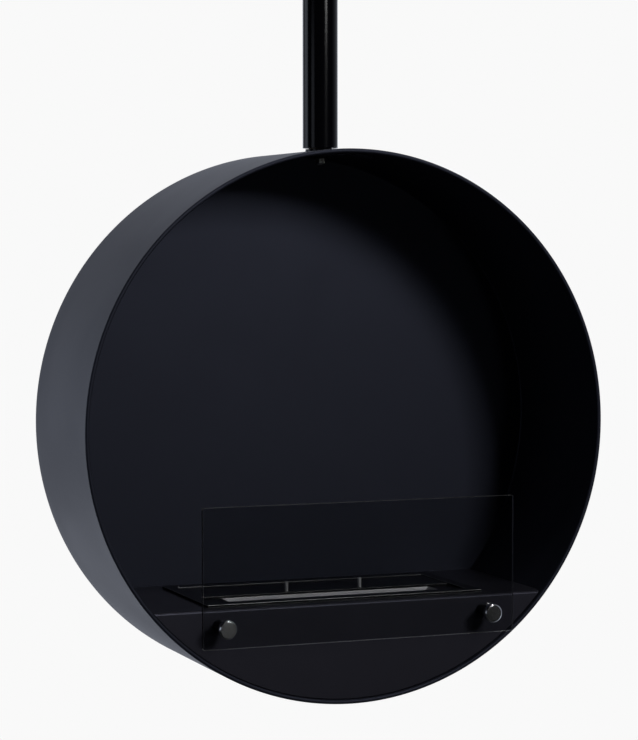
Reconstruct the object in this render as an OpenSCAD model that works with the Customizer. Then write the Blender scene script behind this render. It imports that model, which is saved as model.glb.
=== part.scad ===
// Hanging fireplace: a round steel drum on a ceiling pole, with an ethanol burner in its hearth
// tray and a glass screen in front. It turns on the pole.
// The origin is the centre of the ceiling plate's top face. +Z is up and the open front faces -Y.

/* [Drum] */
// Outside diameter of the drum
drum_d = 800; // [760:5:1000]
// Depth of the drum, from front edge to back face
drum_depth = 266; // [255:1:360]
// Distance from the ceiling down to the drum's top
drop = 700; // [420:10:1600]
// Thickness of the rolled band
band_t = 3; // [2:0.5:4]
// Thickness of the hem folded inside the front edge
hem_t = 3; // [2:0.5:4]
// Depth of the hem, back from the front edge
hem_depth = 20; // [12:1:30]
// Rounding of the front edge
edge_r = 2.4; // [0.5:0.1:2.8]
// Thickness of the back panel
back_t = 3; // [2:0.5:5]

/* [Hearth tray] */
// Height of the shelf's top above the drum's lowest point
shelf_h = 147.5; // [135:0.5:180]
// Thickness of the folded sheet
tray_t = 2; // [1.5:0.5:2.5]
// Outer radius of the fold between shelf and apron
fold_r = 4; // [3:0.5:8]
// How far the apron's face stands behind the drum's front edge
apron_setback = 6.3; // [4:0.1:9]
// Gap between the apron and the hem
apron_gap = 1; // [0.5:0.1:3]
// Length of each cleat, front to back
cleat_len = 180; // [100:5:200]
// Width of a cleat's flange under the shelf
cleat_w = 32; // [20:1:45]
// Height of a cleat's leg along the band
cleat_leg = 26; // [15:1:40]
// Thickness of the cleats
cleat_t = 3; // [2:0.5:4]

/* [Pole and ceiling plate] */
// Outside diameter of the pole
pole_d = 52; // [48:0.5:58]
// Wall of the pole
pole_wall = 2.5; // [2:0.25:4]
// Diameter of the ceiling plate
plate_d = 130; // [120:1:136]
// Thickness of the ceiling plate
plate_t = 6; // [5:0.5:10]
// Diameter of the circle of screw holes
plate_pcd = 100; // [92:1:104]
// Number of screw holes
plate_holes = 4; // [3:1:6]
// Diameter of a screw hole
plate_hole_d = 9; // [7:0.5:11]
// Length of the spigot under the plate
spigot_len = 90; // [75:1:120]
// Wall of the spigot
spigot_wall = 4; // [3:0.5:5]
// Diameter of the cross bolts
cross_d = 8; // [6:1:8]
// Drop of the upper cross bolt below the ceiling
cross_drop = 20; // [18:1:24]
// Distance between the two cross bolts
cross_pitch = 22; // [20:1:24]

/* [Canopy] */
// Outside diameter of the canopy
canopy_d = 150; // [145:1:180]
// Height of the canopy
canopy_h = 62; // [60:1:80]
// Wall of the canopy
canopy_wall = 2; // [1.5:0.5:3]
// Radius of the canopy's lower edge
canopy_r = 8; // [4:1:14]
// Outside diameter of the clamp collar
canopy_collar_d = 70; // [68:1:76]
// Height of the clamp collar
canopy_collar_h = 14; // [12:1:18]

/* [Swivel] */
// Height of the neck, from the drum's top to the pole's foot
neck_h = 5; // [4:0.5:12]
// Diameter of the neck
neck_d = 44; // [38:1:46]
// Diameter of the bolt that carries the drum
swivel_d = 8; // [8:1:12]
// Thickness of the plug in the pole's foot
plug_t = 25; // [18:1:40]
// Wall of the bronze bush
bush_wall = 2; // [1.5:0.25:3]
// Length of the saddle plate along the band
saddle_l = 120; // [90:5:160]
// Width of the saddle plate, front to back
saddle_w = 110; // [80:5:140]
// Thickness of the saddle plate
saddle_t = 4; // [3:0.5:6]
// Diameter of the flat seat under the saddle
seat_d = 34; // [32:1:50]

/* [Glass screen] */
// Width of the pane
glass_w = 480; // [450:5:500]
// Height of the pane
glass_h = 200; // [150:5:260]
// Thickness of the pane
glass_t = 5; // [4:1:6]
// Radius of the pane's corners
glass_corner = 3; // [1:0.5:10]
// Distance of each standoff from the pane's edge
standoff_inset = 35; // [25:1:50]
// Drop of the standoffs below the shelf's top
standoff_drop = 22.5; // [20:0.5:26]
// How far the pane reaches below the standoffs
glass_below = 28.5; // [22:0.5:40]
// Gap between the apron and the pane
glass_gap = 30; // [20:1:40]
// Diameter of the standoff barrels
barrel_d = 18; // [16:1:24]
// Diameter of the caps
cap_d = 27; // [26:1:36]
// Height of the caps
cap_h = 8; // [7:0.5:12]
// Bevel of the caps' front edge
cap_bevel = 1.5; // [0.5:0.1:2.5]
// Diameter of the standoff studs
stud_d = 8; // [6:1:10]
// Thickness of the soft rings on the glass
gasket_t = 1; // [0.5:0.1:1.5]

/* [Burner] */
// Width of the burner's flange
frame_w = 430; // [424:1:440]
// Depth of the burner's flange
frame_depth = 207; // [205:1:212]
// Thickness of the flange
frame_t = 4; // [3:0.5:5]
// How far the flange starts behind the drum's front edge
frame_setback = 28; // [26:0.5:30]
// Width of each side of the flange
frame_side = 17; // [14:0.5:19]
// Width of the front and back of the flange
frame_end = 24.5; // [20:0.5:26]
// Depth of the overflow box below the shelf's top
box_depth = 66; // [62:1:80]
// Sheet of the box, deck and trough
burner_sheet = 1.5; // [1:0.25:2]
// Width of the fuel trough at the top
trough_w = 330; // [300:5:340]
// Width of the fuel trough's floor
trough_floor_w = 200; // [160:5:240]
// Inside length of the trough, front to back
trough_l = 50; // [44:1:51]
// Gap between the frame's front edge and the trough
trough_margin = 6; // [5:0.5:8]
// Depth of the trough
trough_depth = 52; // [44:1:56]
// Width of the trough's lip under the deck
lip_w = 5; // [3:0.5:5]
// Depth of the fibre pad's top below the deck
pad_drop = 14; // [12:1:22]
// Rows of holes in the cover of the pad
mesh_rows = 3; // [2:1:3]
// Holes in each row
mesh_cols = 20; // [8:1:22]
// Diameter of a hole in the cover
mesh_hole = 8; // [5:0.5:9]

/* [Lid] */
// Gap between the trough and the open lid
lid_gap = 4; // [2:0.5:8]
// Thickness of the lid
lid_t = 2.5; // [1.5:0.5:3]
// Distance between the two pins
pin_pitch = 117; // [80:1:200]
// Diameter of the pins
pin_d = 6.5; // [5:0.5:8]
// Height of the pins above the lid
pin_h = 14.5; // [10:0.5:20]
// How far the pins stand behind the lid's front edge
pin_setback = 12; // [8:0.5:20]

/* [Clearances] */
// Side play of parts that drop into a cut-out
drop_in = 1.5; // [1:0.1:2.5]
// Play all round the lid
lid_play = 0.8; // [0.5:0.1:1.2]
// Play under the lid
lid_lift = 0.3; // [0.2:0.05:0.5]
// Radial play of the canopy on the pole
canopy_play = 0.8; // [0.6:0.1:1.5]
// Radial play of bolts in their holes
bolt_play = 0.25; // [0.1:0.05:0.5]
// Radial play of the spigot in the pole
spigot_play = 0.1; // [0.05:0.05:0.2]
// Radial running clearance of the swivel bolt in its bush
running = 0.06; // [0.03:0.01:0.1]
// Vertical play of the swivel
axial_play = 0.1; // [0.05:0.05:0.2]

/* [Hidden] */

$fn = 96;
drum_fn = 360;
small_fn = 32;
over = 1;
left = -1;
right = 1;

// Hexagon bolts and nuts, as multiples of the thread's diameter
across_flats = 1.62;
head_h = 0.65;
nut_h = 0.8;

// Colours
black = [0.13, 0.14, 0.17];
tray_black = [0.09, 0.10, 0.12];
deep_black = [0.05, 0.05, 0.06];
steel = [0.62, 0.63, 0.65];
bronze = [0.72, 0.55, 0.32];

// Drum
drum_r = drum_d / 2;
inner_r = drum_r - band_t;
hem_r = inner_r - hem_t;
drum_top = -drop;
drum_z = drum_top - drum_r;
drum_bottom = drum_top - drum_d;
front_y = -drum_depth / 2;
back_y = drum_depth / 2;
panel_y = back_y - back_t;
hem_end_y = front_y + hem_depth;

// Hearth tray
shelf_z = drum_bottom + shelf_h;
shelf_under = shelf_z - tray_t;
apron_y = front_y + apron_setback;
apron_back_y = apron_y + tray_t;
apron_r = hem_r - apron_gap;
cleat_y = panel_y - cleat_len;

// Pole
pole_r = pole_d / 2;
pole_in_r = pole_r - pole_wall;
pole_top = -plate_t;
pole_foot = drum_top + neck_h;
spigot_r = pole_in_r - spigot_play;
spigot_foot = pole_top - spigot_len;
cross_z = [-cross_drop, -cross_drop - cross_pitch];
cross_turn = [0, 90];
cross_hole_d = cross_d + 2 * bolt_play;
cross_seat = 3;
cross_washer_d = 2.2 * cross_d;

// Canopy
canopy_top = -0.5;
canopy_foot = -canopy_h;
canopy_hole_r = pole_r + canopy_play;
collar_foot = canopy_foot - canopy_collar_h;
grub_d = 5;
grub_recess = 1.5;
grub_socket_d = 2.5;
grub_socket_depth = 2.5;
grub_z = canopy_foot - canopy_collar_h / 2;

// Swivel, from the pole's foot down
thrust_t = 1.5;
thrust_inset = 5;
seat_drop = 1;
collar_top = pole_foot - axial_play - thrust_t;
bush_r = swivel_d / 2 + running + bush_wall;
seat_z = drum_top - band_t - saddle_t - seat_drop;
thrust_foot = seat_z - thrust_t;
washer_t = 1.6;
washer_foot = thrust_foot - axial_play - washer_t;
swivel_head_z = pole_foot + plug_t;
swivel_nut_h = nut_h * swivel_d;
nut_foot = washer_foot - swivel_nut_h;
dome_h = 0.25 * swivel_d;
dome_base_r = 0.72 * swivel_d;
dome_r = (pow(dome_base_r, 2) + pow(dome_h, 2)) / (2 * dome_h);

// Glass screen and its standoffs
standoff_x = glass_w / 2 - standoff_inset;
standoff_z = shelf_z - standoff_drop;
glass_foot = standoff_z - glass_below;
glass_back_y = apron_y - glass_gap;
glass_y = glass_back_y - glass_t;
barrel_y = glass_back_y + gasket_t;
cap_back_y = glass_y - gasket_t;
cap_y = cap_back_y - cap_h;
stud_hole_d = stud_d + 2 * bolt_play;
glass_hole_d = stud_d + 4;
cap_skin = 3;
cap_socket = cap_h - cap_skin;
stud_nut_h = nut_h * stud_d;
stud_end = 2;
gasket_d = cap_d - 4;

// Burner
frame_y = front_y + frame_setback;
frame_back_y = frame_y + frame_depth;
frame_top = shelf_z + frame_t;
well_w = frame_w - 2 * frame_side;
well_y = frame_y + frame_end;
well_depth = frame_depth - 2 * frame_end;
well_back_y = well_y + well_depth;
box_w = well_w + 2 * burner_sheet;
box_y = well_y - burner_sheet;
box_l = well_depth + 2 * burner_sheet;
cutout_w = box_w + 2 * drop_in;
cutout_y = box_y - drop_in;
cutout_l = box_l + 2 * drop_in;
deck_t = 2;
deck_under = shelf_z - deck_t;
trough_y = well_y + trough_margin;
trough_slope = (trough_w - trough_floor_w) / 2 / trough_depth;
pad_z = shelf_z - pad_drop;
mesh_t = 1;
mesh_w = trough_w - 2 * trough_slope * (pad_drop + mesh_t);
mesh_pitch_x = (mesh_w - mesh_hole) / mesh_cols;
mesh_pitch_y = (trough_l - mesh_hole / 2) / mesh_rows;

// Lid
lid_w = well_w - 2 * lid_play;
lid_y = trough_y + trough_l + lid_gap;
lid_depth = well_back_y - lid_play - lid_y;
lid_z = shelf_z + lid_lift;
lid_top = lid_z + lid_t;
pin_y = lid_y + pin_setback;
pin_bevel = 0.8;
pin_shank_d = pin_d - 2.5;

// Helpers -------------------------------------------------------------------------------------

// A disc or bar of radius r whose axis runs back along +Y from y
module y_rod(r, y, len, x = 0, z = drum_z) {
    translate([x, y, z]) rotate([-90, 0, 0]) cylinder(h = len, r = r);
}

// A plate outline drawn in X and Z, len thick, running back along +Y from y
module y_plate(y, len) {
    translate([0, y + len, 0]) rotate([90, 0, 0]) linear_extrude(len) children();
}

// A side view drawn in Y and Z, w wide, centred across X
module x_plate(w) {
    rotate([90, 0, 90]) linear_extrude(w, center = true) children();
}

// A ring standing on z
module ring(r, hole_r, h, z) {
    translate([0, 0, z]) difference() {
        cylinder(h = h, r = r);
        translate([0, 0, -over]) cylinder(h = h + 2 * over, r = hole_r);
    }
}

// A rectangle centred across X, running back from y
module slab(w, y, l, z, h) {
    translate([-w / 2, y, z]) cube([w, l, h]);
}

// A hexagon of width a across its flats
module hexagon(a, h) {
    cylinder(h = h, d = a / cos(30), $fn = 6);
}

// A rectangle with true round corners, from its lower left corner
module round_rect(w, h, r) {
    translate([r, 0]) square([w - 2 * r, h]);
    translate([0, r]) square([w, h - 2 * r]);
    for (x = [r, w - r], z = [r, h - r]) translate([x, z]) circle(r);
}

// Ceiling plate and pole ----------------------------------------------------------------------

module ceiling_plate() color(black) {
    difference() {
        translate([0, 0, -plate_t]) cylinder(h = plate_t, d = plate_d);
        for (i = [0:plate_holes - 1])
            rotate([0, 0, (i + 0.5) * 360 / plate_holes])
                translate([plate_pcd / 2, 0, -plate_t - over])
                    cylinder(h = plate_t + 2 * over, d = plate_hole_d);
    }
}

// The two cross bolts' axes: the upper one along X, the lower one along Y
module at_cross_bolts() {
    for (i = [0, 1])
        translate([0, 0, cross_z[i]]) rotate([0, 0, cross_turn[i]]) rotate([0, 90, 0]) children();
}

module cross_holes() {
    at_cross_bolts() translate([0, 0, -pole_d]) cylinder(h = 2 * pole_d, d = cross_hole_d);
}

module ceiling_spigot() color(steel) {
    difference() {
        ring(spigot_r, spigot_r - spigot_wall, spigot_len, spigot_foot);
        cross_holes();
    }
}

module pole_tube() color(black) {
    difference() {
        ring(pole_r, pole_in_r, pole_top - pole_foot, pole_foot);
        cross_holes();
    }
}

// A washer for the pole's side, hollowed to the pole's round
module saddle_washer() {
    difference() {
        cylinder(h = pole_r + cross_seat, d = cross_washer_d);
        translate([0, 0, -over]) cylinder(h = pole_r + cross_seat + 2 * over, d = cross_d);
        rotate([0, 90, 0]) cylinder(h = 2 * cross_washer_d, r = pole_r, center = true);
    }
}

module saddle_washers() color(steel) {
    at_cross_bolts() {
        saddle_washer();
        mirror([0, 0, 1]) saddle_washer();
    }
}

module pole_bolts() color(steel) {
    at_cross_bolts() {
        seat = pole_r + cross_seat;
        translate([0, 0, -seat]) cylinder(h = 2 * seat + cross_d, d = cross_d);
        translate([0, 0, -seat - head_h * cross_d]) hexagon(across_flats * cross_d, head_h * cross_d);
    }
}

module pole_bolt_nuts() color(steel) {
    at_cross_bolts() translate([0, 0, pole_r + cross_seat]) difference() {
        hexagon(across_flats * cross_d, nut_h * cross_d);
        translate([0, 0, -over]) cylinder(h = cross_d + 2 * over, d = cross_d);
    }
}

module pole_plug() color(steel) {
    ring(pole_in_r, swivel_d / 2, plug_t, pole_foot);
}

// Swivel --------------------------------------------------------------------------------------

module swivel_bolt() color(steel) {
    translate([0, 0, nut_foot]) cylinder(h = swivel_head_z - nut_foot, d = swivel_d);
    translate([0, 0, swivel_head_z]) hexagon(across_flats * swivel_d, head_h * swivel_d);
}

module swivel_washer() color(steel) {
    ring(swivel_d, swivel_d / 2, washer_t, washer_foot);
}

// Dome nut: a hexagon with a blind bore, closed by a round cap below
module swivel_nut() color(steel) {
    difference() {
        union() {
            translate([0, 0, nut_foot]) hexagon(across_flats * swivel_d, swivel_nut_h);
            intersection() {
                translate([0, 0, nut_foot + dome_r - dome_h]) sphere(dome_r);
                translate([0, 0, nut_foot - dome_h - over]) cylinder(h = dome_h + 2 * over, r = dome_base_r);
            }
        }
        translate([0, 0, nut_foot]) cylinder(h = swivel_nut_h + over, d = swivel_d);
    }
}

module swivel_collar() color(black) {
    difference() {
        translate([0, 0, drum_top - band_t]) cylinder(h = collar_top - drum_top + band_t, d = neck_d);
        y_rod(drum_r, front_y, drum_depth, $fn = drum_fn);
        translate([0, 0, drum_top - 2 * band_t]) cylinder(h = neck_h + 3 * band_t, r = bush_r);
    }
}

module swivel_bush() color(bronze) {
    ring(bush_r, swivel_d / 2 + running, collar_top - seat_z, seat_z);
}

module upper_thrust_washer() color(bronze) {
    ring(neck_d / 2 - thrust_inset, swivel_d / 2 + running, thrust_t, collar_top);
}

module lower_thrust_washer() color(bronze) {
    ring(seat_d / 2 - thrust_inset, swivel_d / 2 + running, thrust_t, thrust_foot);
}

// Canopy --------------------------------------------------------------------------------------

module canopy_cup() color(black) {
    outer = canopy_d / 2;
    turn_r = outer - canopy_r;
    turn_z = canopy_foot + canopy_r;
    rotate_extrude() difference() {
        union() {
            translate([canopy_hole_r, canopy_foot]) square([turn_r - canopy_hole_r, canopy_r]);
            translate([canopy_hole_r, turn_z]) square([outer - canopy_hole_r, canopy_top - turn_z]);
            translate([turn_r, turn_z]) circle(canopy_r);
        }
        translate([0, canopy_foot + canopy_wall]) square([turn_r, canopy_h]);
        translate([0, turn_z]) square([outer - canopy_wall, canopy_h]);
        translate([turn_r, turn_z]) circle(canopy_r - canopy_wall);
    }
}

module at_grub_screws() {
    for (turn = [left, right])
        translate([0, 0, grub_z]) rotate([0, 90 * turn, 0]) translate([0, 0, canopy_hole_r]) children();
}

module canopy_collar() color(black) {
    difference() {
        ring(canopy_collar_d / 2, canopy_hole_r, canopy_collar_h, collar_foot);
        at_grub_screws() translate([0, 0, -over]) cylinder(h = canopy_collar_d, d = grub_d);
    }
}

module canopy_screws() color(steel) {
    grub_len = canopy_collar_d / 2 - canopy_hole_r - grub_recess;
    at_grub_screws() difference() {
        cylinder(h = grub_len, d = grub_d);
        translate([0, 0, grub_len - grub_socket_depth]) hexagon(grub_socket_d, grub_socket_depth + over);
    }
}

// Drum ----------------------------------------------------------------------------------------

module shell_band() color(black) {
    nose_r = drum_r - edge_r;
    difference() {
        translate([0, front_y, drum_z]) rotate([-90, 0, 0]) rotate_extrude($fn = drum_fn) {
            translate([inner_r, edge_r]) square([band_t, drum_depth - edge_r]);
            translate([hem_r, edge_r]) square([hem_t + band_t, hem_depth - edge_r]);
            translate([hem_r + edge_r, 0]) square([hem_t + band_t - 2 * edge_r, 2 * edge_r]);
            translate([hem_r + edge_r, edge_r]) circle(edge_r, $fn = small_fn);
            translate([nose_r, edge_r]) circle(edge_r, $fn = small_fn);
        }
        translate([0, 0, drum_top - 2 * band_t]) cylinder(h = 3 * band_t, r = bush_r);
    }
}

module back_panel() color(black) {
    y_rod(inner_r, panel_y, back_t, $fn = drum_fn);
}

// Side view of the folded sheet: apron, fold and shelf
module tray_section() {
    difference() {
        union() {
            translate([apron_y, drum_bottom]) square([tray_t, shelf_z - fold_r - drum_bottom]);
            translate([apron_y + fold_r, shelf_under]) square([panel_y - apron_y - fold_r, tray_t]);
            intersection() {
                translate([apron_y + fold_r, shelf_z - fold_r]) circle(fold_r);
                translate([apron_y, shelf_z - fold_r]) square(fold_r);
            }
        }
        translate([apron_y + fold_r, shelf_z - fold_r]) circle(fold_r - tray_t);
    }
}

module hearth_tray() color(tray_black) {
    difference() {
        intersection() {
            x_plate(drum_d) tray_section();
            union() {
                y_rod(apron_r, front_y, drum_depth, $fn = drum_fn);
                y_rod(inner_r, hem_end_y + apron_gap, drum_depth, $fn = drum_fn);
            }
        }
        slab(cutout_w, cutout_y, cutout_l, shelf_under - over, tray_t + 2 * over);
        at_standoffs() y_rod(stud_hole_d / 2, -over, tray_t + 2 * over, z = 0);
    }
}

// A rolled angle: a flange under the shelf and a leg that follows the band. It is drawn for the
// right side and mirrored for the left one.
module shelf_cleat(side) {
    shelf_edge = sqrt(pow(inner_r, 2) - pow(drum_z - shelf_under, 2));
    mirror([side == left ? 1 : 0, 0, 0]) y_plate(cleat_y, cleat_len) intersection() {
        translate([0, drum_z]) circle(inner_r, $fn = drum_fn);
        union() {
            translate([shelf_edge - cleat_w, shelf_under - cleat_t]) square([cleat_w, cleat_t]);
            difference() {
                translate([shelf_edge - cleat_w, shelf_under - cleat_leg]) square([cleat_w, cleat_leg]);
                translate([0, drum_z]) circle(inner_r - cleat_t, $fn = drum_fn);
            }
        }
    }
}

module shelf_cleat_left() color(black) shelf_cleat(left);

module shelf_cleat_right() color(black) shelf_cleat(right);

// A curved plate inside the drum's top with a flat round seat below it
module top_saddle() color(black) {
    difference() {
        union() {
            difference() {
                intersection() {
                    y_rod(inner_r, -saddle_w / 2, saddle_w, $fn = drum_fn);
                    slab(saddle_l, -saddle_w / 2, saddle_w, drum_top - drum_r / 4, drum_r / 4);
                }
                y_rod(inner_r - saddle_t, -saddle_w, 2 * saddle_w, $fn = drum_fn);
            }
            translate([0, 0, seat_z]) cylinder(h = saddle_t, d = seat_d);
        }
        translate([0, 0, seat_z - over]) cylinder(h = 2 * saddle_t + 3 * over, r = bush_r);
    }
}

// Glass screen --------------------------------------------------------------------------------

// Both standoffs' centres, on the apron's front face
module at_standoffs() {
    for (side = [left, right]) at_standoff(side) children();
}

module at_standoff(side) {
    translate([side * standoff_x, apron_y, standoff_z]) children();
}

module glass_screen() color([0.35, 0.36, 0.40, 0.35]) {
    difference() {
        y_plate(glass_y, glass_t)
            translate([-glass_w / 2, glass_foot]) round_rect(glass_w, glass_h, glass_corner);
        at_standoffs() y_rod(glass_hole_d / 2, glass_y - apron_y - over, glass_t + 2 * over, z = 0);
    }
}

module standoff_barrel(side) {
    at_standoff(side) difference() {
        y_rod(barrel_d / 2, barrel_y - apron_y, apron_y - barrel_y, z = 0);
        y_rod(stud_d / 2, barrel_y - apron_y - over, glass_gap + 2 * over, z = 0);
    }
}

module standoff_barrel_left() color(deep_black) standoff_barrel(left);

module standoff_barrel_right() color(deep_black) standoff_barrel(right);

// A turned cap with a bevelled front edge and a blind threaded socket
module glass_cap(side) {
    at_standoff(side) translate([0, cap_y - apron_y, 0]) difference() {
        rotate([-90, 0, 0]) union() {
            cylinder(h = cap_bevel, r1 = cap_d / 2 - cap_bevel, r2 = cap_d / 2);
            translate([0, 0, cap_bevel]) cylinder(h = cap_h - cap_bevel, d = cap_d);
        }
        y_rod(stud_d / 2, cap_h - cap_socket, cap_socket + over, z = 0);
    }
}

module glass_cap_left() color(steel) glass_cap(left);

module glass_cap_right() color(steel) glass_cap(right);

module glass_gaskets() color([0.8, 0.8, 0.8]) {
    at_standoffs() for (y = [glass_back_y, cap_back_y]) difference() {
        y_rod((y == glass_back_y ? barrel_d : gasket_d) / 2, y - apron_y, gasket_t, z = 0);
        y_rod(stud_d / 2, y - apron_y - over, gasket_t + 2 * over, z = 0);
    }
}

module standoff_studs() color(steel) {
    stud_front = cap_back_y - cap_socket;
    stud_back = apron_back_y + stud_nut_h + stud_end;
    at_standoffs() y_rod(stud_d / 2, stud_front - apron_y, stud_back - stud_front, z = 0);
}

module standoff_nuts() color(steel) {
    at_standoffs() translate([0, tray_t, 0]) rotate([-90, 0, 0]) difference() {
        hexagon(across_flats * stud_d, stud_nut_h);
        translate([0, 0, -over]) cylinder(h = stud_nut_h + 2 * over, d = stud_d);
    }
}

// Burner --------------------------------------------------------------------------------------

module burner_frame() color(black) {
    difference() {
        slab(frame_w, frame_y, frame_depth, shelf_z, frame_t);
        slab(well_w, well_y, well_depth, shelf_z - over, frame_t + 2 * over);
    }
}

module burner_box() color(deep_black) {
    difference() {
        slab(box_w, box_y, box_l, shelf_z - box_depth, box_depth);
        slab(well_w, well_y, well_depth, shelf_z - box_depth + burner_sheet, box_depth);
    }
}

module burner_deck() color(deep_black) {
    difference() {
        slab(well_w, well_y, well_depth, deck_under, deck_t);
        slab(trough_w + 2 * burner_sheet, trough_y - burner_sheet, trough_l + 2 * burner_sheet,
            deck_under - over, deck_t + 2 * over);
    }
}

// Front view of the trough, in X and Z: wide at the top, with sloping ends, from z_low to z_high.
// The outline is widened by wall on each side.
module trough_outline(wall, z_low, z_high) {
    half_low = trough_w / 2 + wall - trough_slope * (shelf_z - z_low);
    half_high = trough_w / 2 + wall - trough_slope * (shelf_z - z_high);
    polygon([[-half_low, z_low], [half_low, z_low], [half_high, z_high], [-half_high, z_high]]);
}

module fuel_trough() color(steel) {
    floor_z = shelf_z - trough_depth;
    difference() {
        union() {
            y_plate(trough_y - burner_sheet, trough_l + 2 * burner_sheet)
                trough_outline(burner_sheet, floor_z - burner_sheet, shelf_z);
            slab(trough_w + 2 * lip_w, trough_y - lip_w, trough_l + 2 * lip_w,
                deck_under - burner_sheet, burner_sheet);
        }
        y_plate(trough_y, trough_l) trough_outline(0, floor_z, shelf_z + over);
    }
}

module wool_pad() color([0.9, 0.89, 0.86]) {
    y_plate(trough_y, trough_l) trough_outline(0, shelf_z - trough_depth, pad_z - mesh_t);
}

module burner_mesh() color(steel) {
    difference() {
        slab(mesh_w, trough_y, trough_l, pad_z - mesh_t, mesh_t);
        for (i = [0:mesh_cols - 1], j = [0:mesh_rows - 1])
            translate([(i - (mesh_cols - 1) / 2) * mesh_pitch_x,
                trough_y + trough_l / 2 + (j - (mesh_rows - 1) / 2) * mesh_pitch_y, pad_z - mesh_t - over])
                cylinder(h = mesh_t + 2 * over, d = mesh_hole, $fn = small_fn);
    }
}

// Lid -----------------------------------------------------------------------------------------

module at_lid_pins() {
    for (side = [left, right]) translate([side * pin_pitch / 2, pin_y, 0]) children();
}

module burner_lid() color(deep_black) {
    difference() {
        slab(lid_w, lid_y, lid_depth, lid_z, lid_t);
        at_lid_pins() translate([0, 0, lid_z - over]) cylinder(h = lid_t + 2 * over, d = pin_shank_d);
    }
}

module lid_pins() color(steel) {
    at_lid_pins() {
        translate([0, 0, lid_z]) cylinder(h = lid_t, d = pin_shank_d);
        translate([0, 0, lid_top]) cylinder(h = pin_h - pin_bevel, d = pin_d);
        translate([0, 0, lid_top + pin_h - pin_bevel])
            cylinder(h = pin_bevel, r1 = pin_d / 2, r2 = pin_d / 2 - pin_bevel);
    }
}

ceiling_plate();
ceiling_spigot();
pole_tube();
pole_bolts();
pole_bolt_nuts();
saddle_washers();
pole_plug();
swivel_bolt();
swivel_washer();
swivel_nut();
canopy_cup();
canopy_collar();
canopy_screws();
shell_band();
back_panel();
hearth_tray();
shelf_cleat_left();
shelf_cleat_right();
top_saddle();
swivel_collar();
swivel_bush();
upper_thrust_washer();
lower_thrust_washer();
glass_screen();
standoff_barrel_left();
standoff_barrel_right();
glass_cap_left();
glass_cap_right();
glass_gaskets();
standoff_studs();
standoff_nuts();
burner_frame();
burner_box();
burner_deck();
fuel_trough();
wool_pad();
burner_mesh();
burner_lid();
lid_pins();
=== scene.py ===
"""Looks of a round hanging fireplace: a satin black steel drum on a ceiling pole, with an ethanol
burner in its hearth tray and a smoked glass screen in front.

Everything is in metres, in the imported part's frame: the origin is the centre of the ceiling plate's
top face, +Z is up, the drum's open front faces -Y and the pole's axis is x = y = 0.
"""

from __future__ import annotations

import logging
import math
from collections.abc import Callable, Sequence
from dataclasses import dataclass, field
from enum import Enum
from typing import Any

import bmesh
import bpy
from mathutils import Matrix, Quaternion, Vector

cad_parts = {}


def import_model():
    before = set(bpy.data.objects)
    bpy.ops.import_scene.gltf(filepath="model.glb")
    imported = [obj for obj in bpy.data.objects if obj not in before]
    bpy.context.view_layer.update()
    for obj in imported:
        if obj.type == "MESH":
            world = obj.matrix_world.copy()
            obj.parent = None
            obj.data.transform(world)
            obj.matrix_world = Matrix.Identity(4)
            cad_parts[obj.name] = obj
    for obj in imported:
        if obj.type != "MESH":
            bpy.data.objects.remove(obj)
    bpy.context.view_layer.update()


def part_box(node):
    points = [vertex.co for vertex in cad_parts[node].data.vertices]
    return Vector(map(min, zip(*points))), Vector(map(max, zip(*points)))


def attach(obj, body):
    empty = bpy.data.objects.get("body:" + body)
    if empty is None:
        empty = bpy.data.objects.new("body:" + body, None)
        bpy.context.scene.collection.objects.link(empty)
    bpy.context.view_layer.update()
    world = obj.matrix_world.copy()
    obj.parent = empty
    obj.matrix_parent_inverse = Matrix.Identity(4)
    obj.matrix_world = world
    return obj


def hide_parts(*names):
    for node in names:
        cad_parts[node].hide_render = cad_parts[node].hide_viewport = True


Mesh, Material = bpy.types.Mesh, bpy.types.Material
Tree, Node, Socket = bpy.types.NodeTree, bpy.types.Node, bpy.types.NodeSocket
Colour = tuple[float, float, float]
Corner = tuple[float, float, float]

LOG = logging.getLogger("fireplace")
MM = 0.001
WHITE: Colour = (1.0, 1.0, 1.0)

# Vertices nearer than MERGE are one, and faces that meet flatter than PLANAR are one. An edge
# sharper than SMOOTH is rounded in a softened copy, and stays sharp in a finished piece.
MERGE = 0.000002
PLANAR = math.radians(0.2)
SMOOTH = math.radians(35)

# A face whose normal has more than FACE_ON along an axis looks along it, and one whose normal has
# less than UPRIGHT stands along it.
FACE_ON = 0.999
UPRIGHT = 0.1

# Attributes of the meshes that the node trees and the finishes read.
ROUNDING = "rounding"
LATHE_PLACE = "lathe_place"
GROUND_EDGE = "ground_edge"
WORN_EDGE = "worn_edge"

# Socket types of the node groups.
NUMBER, WHOLE, VECTOR = "NodeSocketFloat", "NodeSocketInt", "NodeSocketVector"
SOLID, FINISH = "NodeSocketGeometry", "NodeSocketMaterial"


class Body(Enum):
    """The bodies that a piece can ride on."""

    MOUNT = "ceiling_mount"
    CANOPY = "canopy"
    DRUM = "drum"
    BURNER = "burner"
    LID = "lid"


class Finish(Enum):
    """The finishes, by the part's material slots."""

    DRUM = "drum_black"
    TRAY = "tray_black"
    POLE = "pole_black"
    BURNER = "burner_black"
    SATIN = "satin_steel"
    ZINC = "zinc_steel"
    PLAIN = "plain_steel"
    BRONZE = "bronze"
    GLASS = "smoked_glass"
    GASKET = "gasket"
    WOOL = "ceramic_wool"


class Grain(Enum):
    """The way that a metal's marks run."""

    TURNED = "turned"
    ALONG_X = "along_x"
    EVEN = "even"


class Axis(Enum):
    """The direction of a turned piece's axis, as the turn that lays +Z on it."""

    UP = Matrix.Identity(4)
    BACK = Matrix.Rotation(math.radians(-90), 4, "X")


# ---- node trees


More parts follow.
